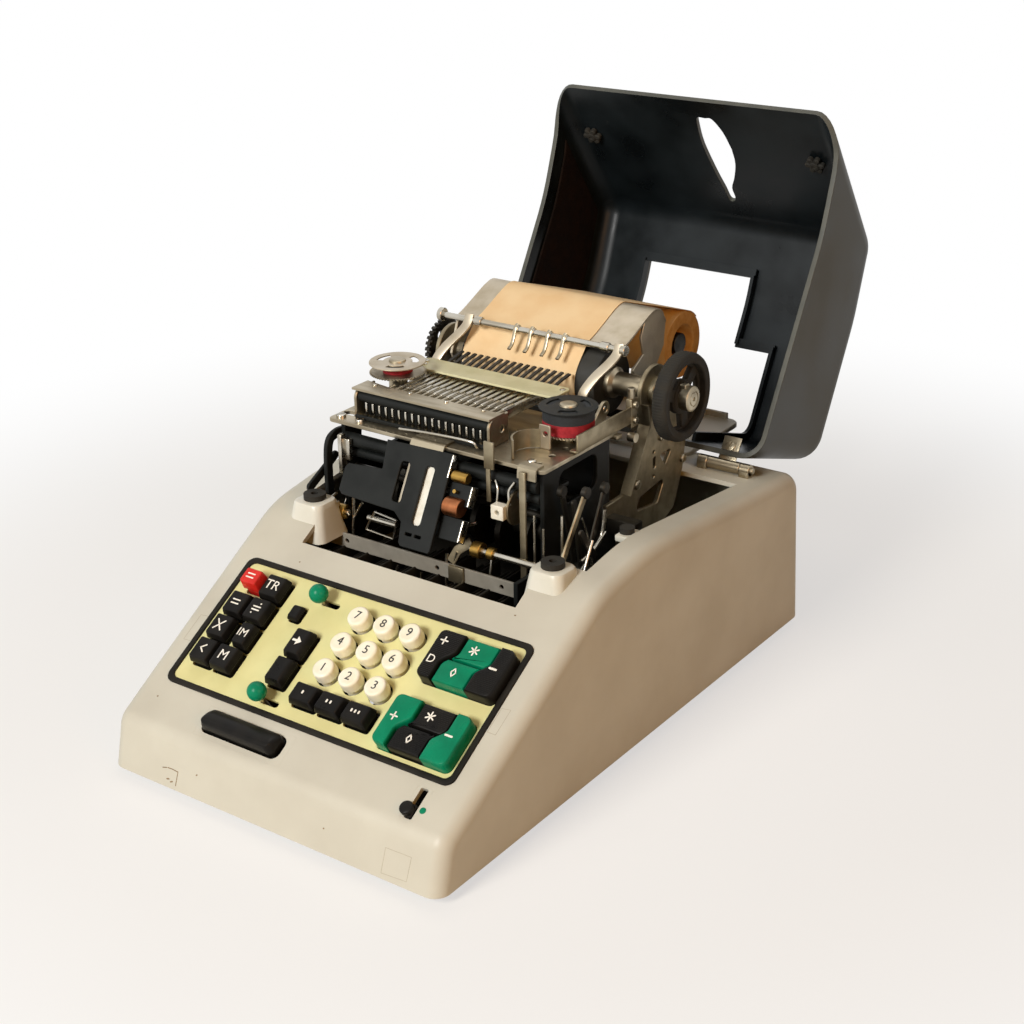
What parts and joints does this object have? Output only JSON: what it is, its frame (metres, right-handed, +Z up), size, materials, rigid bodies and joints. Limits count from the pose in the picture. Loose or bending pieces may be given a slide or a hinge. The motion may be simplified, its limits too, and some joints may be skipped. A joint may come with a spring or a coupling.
{
  "type": "printing calculator",
  "caption": "Desktop printing calculator with a sloping keyboard, a hinged rear cover standing open, and a printing unit with platen, ribbon spools and paper roll.",
  "frame": {"origin": "under the middle of the whole machine with its cover open, on the plane of its feet", "axes": "+X to the right as its user sits, +Y to the rear, +Z up"},
  "size_m": [0.2448, 0.5111, 0.3327],
  "materials": {
    "housing_enamel": "cream enamel, lightly worn",
    "dark_enamel": "dark enamel with worn edges",
    "panel_enamel": "pale yellow enamel",
    "plain_steel": "plain steel, slightly tarnished",
    "cover_plastic": "dark moulded shell, dusty inside",
    "trim_plastic": "thin dark trim",
    "ivory_plastic": "glossy ivory",
    "black_plastic": "glossy black",
    "green_plastic": "glossy green",
    "red_plastic": "glossy red",
    "black_rubber": "matt black rubber",
    "tan_paper": "uncoated paper, aged to tan"
  },
  "bodies": {
    "chassis": {"base_housing": "housing_enamel", "bottom_plate": "dark_enamel", "rubber_feet_and_pads": "black_rubber", "power_inlet": "black_plastic", "motor": "dark_enamel", "keyboard_panel": "panel_enamel", "panel_trim": "trim_plastic", "side_frames": "dark_enamel", "bearing_brackets": "plain_steel", "rods_and_links": "plain_steel", "indicator_plate": "dark_enamel", "print_deck": "plain_steel", "paper_guide": "plain_steel", "paper_web": "tan_paper"},
    "cover": {"cover_shell": "cover_plastic", "cover_fittings": "dark_enamel"},
    "platen": {"platen": "black_rubber", "platen_knob": "black_plastic"},
    "key_1": {"key_1": "ivory_plastic"},
    "key_2": {"key_2": "ivory_plastic"},
    "key_3": {"key_3": "ivory_plastic"},
    "key_4": {"key_4": "ivory_plastic"},
    "key_5": {"key_5": "ivory_plastic"},
    "key_6": {"key_6": "ivory_plastic"},
    "key_7": {"key_7": "ivory_plastic"},
    "key_8": {"key_8": "ivory_plastic"},
    "key_9": {"key_9": "ivory_plastic"},
    "key_zero": {"key_zero": "black_plastic"},
    "key_double_zero": {"key_double_zero": "black_plastic"},
    "key_triple_zero": {"key_triple_zero": "black_plastic"},
    "key_equals": {"key_equals": "black_plastic"},
    "key_multiply": {"key_multiply": "black_plastic"},
    "key_less": {"key_less": "black_plastic"},
    "key_transfer": {"key_transfer": "black_plastic"},
    "key_divide": {"key_divide": "black_plastic"},
    "key_memory_in": {"key_memory_in": "black_plastic"},
    "key_memory": {"key_memory": "black_plastic"},
    "key_small": {"key_small": "black_plastic"},
    "key_arrow": {"key_arrow": "black_plastic"},
    "key_blank": {"key_blank": "black_plastic"},
    "key_upper_plus": {"key_upper_plus": "black_plastic"},
    "key_upper_minus": {"key_upper_minus": "black_plastic"},
    "key_lower_total": {"key_lower_total": "black_plastic"},
    "key_lower_subtotal": {"key_lower_subtotal": "black_plastic"},
    "key_red_equals": {"key_red_equals": "red_plastic"},
    "key_upper_total": {"key_upper_total": "green_plastic"},
    "key_upper_subtotal": {"key_upper_subtotal": "green_plastic"},
    "key_lower_plus": {"key_lower_plus": "green_plastic"},
    "key_lower_minus": {"key_lower_minus": "green_plastic"},
    "ball_lever_top": {"ball_lever_top": "green_plastic"},
    "ball_lever_bottom": {"ball_lever_bottom": "green_plastic"},
    "clear_bar": {"clear_bar": "black_plastic"},
    "slot_lever": {"slot_lever": "black_plastic"},
    "cam_shaft": {"cam_shaft": "plain_steel"},
    "indicator_strip": {"indicator_strip": "ivory_plastic"},
    "type_bars": {"type_bars": "plain_steel"},
    "paper_bail": {"paper_bail": "plain_steel"},
    "ribbon_spool_left": {"ribbon_spool_left": "plain_steel"},
    "ribbon_spool_right": {"ribbon_spool_right": "black_plastic"},
    "paper_roll": {"paper_roll": "tan_paper"}
  },
  "joints": [
    {"name": "cover_hinge", "type": "hinge", "parent": "chassis", "child": "cover", "pos_m": [0, 0.10042, 0.11997], "axis": [1, 0, 0], "range_deg": [0, 114.8]},
    {"name": "platen_turn", "type": "hinge", "parent": "chassis", "child": "platen", "pos_m": [0, 0.04742, 0.183], "axis": [1, 0, 0], "continuous": true},
    {"name": "paper_roll_turn", "type": "hinge", "parent": "chassis", "child": "paper_roll", "pos_m": [0, 0.15742, 0.17402], "axis": [1, 0, 0], "continuous": true},
    {"name": "paper_bail_lift", "type": "hinge", "parent": "chassis", "child": "paper_bail", "pos_m": [0, 0.01042, 0.18], "axis": [1, 0, 0], "range_deg": [0, 16]},
    {"name": "cam_shaft_turn", "type": "hinge", "parent": "chassis", "child": "cam_shaft", "pos_m": [0, -0.03358, 0.112], "axis": [1, 0, 0], "continuous": true},
    {"name": "type_bars_strike", "type": "slide", "parent": "chassis", "child": "type_bars", "axis": [0, 1, 0], "range_m": [0, 0.004], "stiffness_N_per_m": 200, "springref_m": -0.003},
    {"name": "indicator_strip_rise", "type": "slide", "parent": "chassis", "child": "indicator_strip", "axis": [0, 0.4848, 0.8746], "range_m": [0, 0.005]},
    {"name": "ribbon_right_turn", "type": "hinge", "parent": "chassis", "child": "ribbon_spool_right", "pos_m": [0.046, -0.02158, 0.183], "axis": [0, 0, 1], "continuous": true},
    {"name": "ribbon_left_turn", "type": "hinge", "parent": "chassis", "child": "ribbon_spool_left", "pos_m": [-0.08, -0.02758, 0.194], "axis": [0, 0, 1], "continuous": true},
    {"name": "ball_lever_top_slide", "type": "slide", "parent": "chassis", "child": "ball_lever_top", "axis": [1, 0, 0], "range_m": [0, 0.009]},
    {"name": "ball_lever_bottom_slide", "type": "slide", "parent": "chassis", "child": "ball_lever_bottom", "axis": [1, 0, 0], "range_m": [0, 0.009]},
    {"name": "slot_lever_slide", "type": "slide", "parent": "chassis", "child": "slot_lever", "axis": [0, 0.8572, 0.515], "range_m": [0, 0.01]},
    {"name": "clear_bar_press", "type": "slide", "parent": "chassis", "child": "clear_bar", "axis": [0, 0.515, -0.8572], "range_m": [0, 0.004], "stiffness_N_per_m": 200, "springref_m": -0.003},
    {"name": "key_1_press", "type": "slide", "parent": "chassis", "child": "key_1", "axis": [0, 0.515, -0.8572], "range_m": [0, 0.004], "stiffness_N_per_m": 200, "springref_m": -0.003},
    {"name": "key_2_press", "type": "slide", "parent": "chassis", "child": "key_2", "axis": [0, 0.515, -0.8572], "range_m": [0, 0.004], "stiffness_N_per_m": 200, "springref_m": -0.003},
    {"name": "key_3_press", "type": "slide", "parent": "chassis", "child": "key_3", "axis": [0, 0.515, -0.8572], "range_m": [0, 0.004], "stiffness_N_per_m": 200, "springref_m": -0.003},
    {"name": "key_4_press", "type": "slide", "parent": "chassis", "child": "key_4", "axis": [0, 0.515, -0.8572], "range_m": [0, 0.004], "stiffness_N_per_m": 200, "springref_m": -0.003},
    {"name": "key_5_press", "type": "slide", "parent": "chassis", "child": "key_5", "axis": [0, 0.515, -0.8572], "range_m": [0, 0.004], "stiffness_N_per_m": 200, "springref_m": -0.003},
    {"name": "key_6_press", "type": "slide", "parent": "chassis", "child": "key_6", "axis": [0, 0.515, -0.8572], "range_m": [0, 0.004], "stiffness_N_per_m": 200, "springref_m": -0.003},
    {"name": "key_7_press", "type": "slide", "parent": "chassis", "child": "key_7", "axis": [0, 0.515, -0.8572], "range_m": [0, 0.004], "stiffness_N_per_m": 200, "springref_m": -0.003},
    {"name": "key_8_press", "type": "slide", "parent": "chassis", "child": "key_8", "axis": [0, 0.515, -0.8572], "range_m": [0, 0.004], "stiffness_N_per_m": 200, "springref_m": -0.003},
    {"name": "key_9_press", "type": "slide", "parent": "chassis", "child": "key_9", "axis": [0, 0.515, -0.8572], "range_m": [0, 0.004], "stiffness_N_per_m": 200, "springref_m": -0.003},
    {"name": "key_zero_press", "type": "slide", "parent": "chassis", "child": "key_zero", "axis": [0, 0.515, -0.8572], "range_m": [0, 0.004], "stiffness_N_per_m": 200, "springref_m": -0.003},
    {"name": "key_double_zero_press", "type": "slide", "parent": "chassis", "child": "key_double_zero", "axis": [0, 0.515, -0.8572], "range_m": [0, 0.004], "stiffness_N_per_m": 200, "springref_m": -0.003},
    {"name": "key_triple_zero_press", "type": "slide", "parent": "chassis", "child": "key_triple_zero", "axis": [0, 0.515, -0.8572], "range_m": [0, 0.004], "stiffness_N_per_m": 200, "springref_m": -0.003},
    {"name": "key_equals_press", "type": "slide", "parent": "chassis", "child": "key_equals", "axis": [0, 0.515, -0.8572], "range_m": [0, 0.004], "stiffness_N_per_m": 200, "springref_m": -0.003},
    {"name": "key_multiply_press", "type": "slide", "parent": "chassis", "child": "key_multiply", "axis": [0, 0.515, -0.8572], "range_m": [0, 0.004], "stiffness_N_per_m": 200, "springref_m": -0.003},
    {"name": "key_less_press", "type": "slide", "parent": "chassis", "child": "key_less", "axis": [0, 0.515, -0.8572], "range_m": [0, 0.004], "stiffness_N_per_m": 200, "springref_m": -0.003},
    {"name": "key_transfer_press", "type": "slide", "parent": "chassis", "child": "key_transfer", "axis": [0, 0.515, -0.8572], "range_m": [0, 0.004], "stiffness_N_per_m": 200, "springref_m": -0.003},
    {"name": "key_divide_press", "type": "slide", "parent": "chassis", "child": "key_divide", "axis": [0, 0.515, -0.8572], "range_m": [0, 0.004], "stiffness_N_per_m": 200, "springref_m": -0.003},
    {"name": "key_memory_in_press", "type": "slide", "parent": "chassis", "child": "key_memory_in", "axis": [0, 0.515, -0.8572], "range_m": [0, 0.004], "stiffness_N_per_m": 200, "springref_m": -0.003},
    {"name": "key_memory_press", "type": "slide", "parent": "chassis", "child": "key_memory", "axis": [0, 0.515, -0.8572], "range_m": [0, 0.004], "stiffness_N_per_m": 200, "springref_m": -0.003},
    {"name": "key_small_press", "type": "slide", "parent": "chassis", "child": "key_small", "axis": [0, 0.515, -0.8572], "range_m": [0, 0.004], "stiffness_N_per_m": 200, "springref_m": -0.003},
    {"name": "key_arrow_press", "type": "slide", "parent": "chassis", "child": "key_arrow", "axis": [0, 0.515, -0.8572], "range_m": [0, 0.004], "stiffness_N_per_m": 200, "springref_m": -0.003},
    {"name": "key_blank_press", "type": "slide", "parent": "chassis", "child": "key_blank", "axis": [0, 0.515, -0.8572], "range_m": [0, 0.004], "stiffness_N_per_m": 200, "springref_m": -0.003},
    {"name": "key_upper_plus_press", "type": "slide", "parent": "chassis", "child": "key_upper_plus", "axis": [0, 0.515, -0.8572], "range_m": [0, 0.004], "stiffness_N_per_m": 200, "springref_m": -0.003},
    {"name": "key_upper_minus_press", "type": "slide", "parent": "chassis", "child": "key_upper_minus", "axis": [0, 0.515, -0.8572], "range_m": [0, 0.004], "stiffness_N_per_m": 200, "springref_m": -0.003},
    {"name": "key_lower_total_press", "type": "slide", "parent": "chassis", "child": "key_lower_total", "axis": [0, 0.515, -0.8572], "range_m": [0, 0.004], "stiffness_N_per_m": 200, "springref_m": -0.003},
    {"name": "key_lower_subtotal_press", "type": "slide", "parent": "chassis", "child": "key_lower_subtotal", "axis": [0, 0.515, -0.8572], "range_m": [0, 0.004], "stiffness_N_per_m": 200, "springref_m": -0.003},
    {"name": "key_red_equals_press", "type": "slide", "parent": "chassis", "child": "key_red_equals", "axis": [0, 0.515, -0.8572], "range_m": [0, 0.004], "stiffness_N_per_m": 200, "springref_m": -0.003},
    {"name": "key_upper_total_press", "type": "slide", "parent": "chassis", "child": "key_upper_total", "axis": [0, 0.515, -0.8572], "range_m": [0, 0.004], "stiffness_N_per_m": 200, "springref_m": -0.003},
    {"name": "key_upper_subtotal_press", "type": "slide", "parent": "chassis", "child": "key_upper_subtotal", "axis": [0, 0.515, -0.8572], "range_m": [0, 0.004], "stiffness_N_per_m": 200, "springref_m": -0.003},
    {"name": "key_lower_plus_press", "type": "slide", "parent": "chassis", "child": "key_lower_plus", "axis": [0, 0.515, -0.8572], "range_m": [0, 0.004], "stiffness_N_per_m": 200, "springref_m": -0.003},
    {"name": "key_lower_minus_press", "type": "slide", "parent": "chassis", "child": "key_lower_minus", "axis": [0, 0.515, -0.8572], "range_m": [0, 0.004], "stiffness_N_per_m": 200, "springref_m": -0.003}
  ],
  "couplings": [
    {"joint": "paper_roll_turn", "follows": "platen_turn", "ratio": 0.7818},
    {"joint": "ribbon_left_turn", "follows": "ribbon_right_turn", "ratio": 1}
  ]
}
